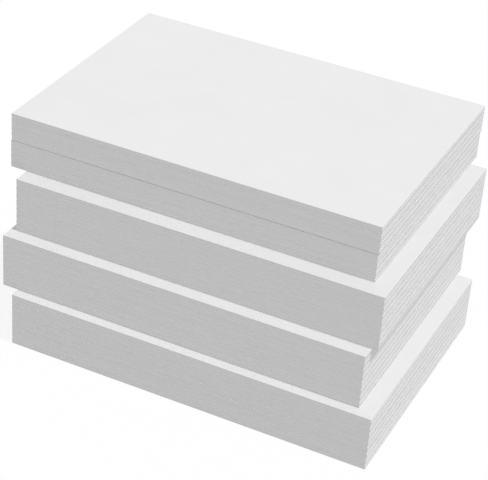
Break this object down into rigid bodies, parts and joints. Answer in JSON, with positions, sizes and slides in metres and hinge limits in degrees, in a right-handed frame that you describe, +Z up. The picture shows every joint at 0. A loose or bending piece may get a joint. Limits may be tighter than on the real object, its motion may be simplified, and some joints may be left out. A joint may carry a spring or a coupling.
{
  "type": "pack of chipboard sheets",
  "caption": "Stacks of loose pale chipboard sheets in A4, square cut, laid on one another a little out of line.",
  "frame": {"origin": "middle of the bottom sheet's underside", "axes": "+Z up through the stacks, +X along the sheets' long sides, -Y the long side that faces the viewer"},
  "size_m": [0.3187, 0.243, 0.1803],
  "materials": {
    "board": "matte, white lined"
  },
  "bodies": {
    "root": {"bottom_stack_sheets_01_02": "board", "bottom_stack_sheets_03_04": "board", "bottom_stack_sheets_05_06": "board", "bottom_stack_sheets_07_08": "board", "bottom_stack_sheets_09_10": "board", "bottom_stack_sheets_11_12": "board", "bottom_stack_sheets_13_14": "board", "bottom_stack_sheets_15_16": "board", "bottom_stack_sheets_17_18": "board", "bottom_stack_sheets_19_20": "board", "second_stack_sheets_01_02": "board", "second_stack_sheets_03_04": "board", "second_stack_sheets_05_06": "board", "second_stack_sheets_07_08": "board", "second_stack_sheets_09_10": "board", "second_stack_sheets_11_12": "board", "second_stack_sheets_13_14": "board", "second_stack_sheets_15_16": "board", "second_stack_sheets_17_18": "board", "second_stack_sheets_19_20": "board", "third_stack_sheets_01_02": "board", "third_stack_sheets_03_04": "board", "third_stack_sheets_05_06": "board", "third_stack_sheets_07_08": "board", "third_stack_sheets_09_10": "board", "third_stack_sheets_11_12": "board", "third_stack_sheets_13_14": "board", "third_stack_sheets_15_16": "board", "third_stack_sheets_17_18": "board", "third_stack_sheets_19_20": "board", "top_stack_sheets_01_02": "board", "top_stack_sheets_03_04": "board", "top_stack_sheets_05_06": "board", "top_stack_sheets_07_08": "board", "top_stack_sheets_09_10": "board", "top_stack_sheets_11_12": "board", "top_stack_sheets_13_14": "board", "top_stack_sheets_15_16": "board", "top_stack_sheets_17_18": "board", "top_stack_sheets_19_20": "board"}
  },
  "joints": []
}
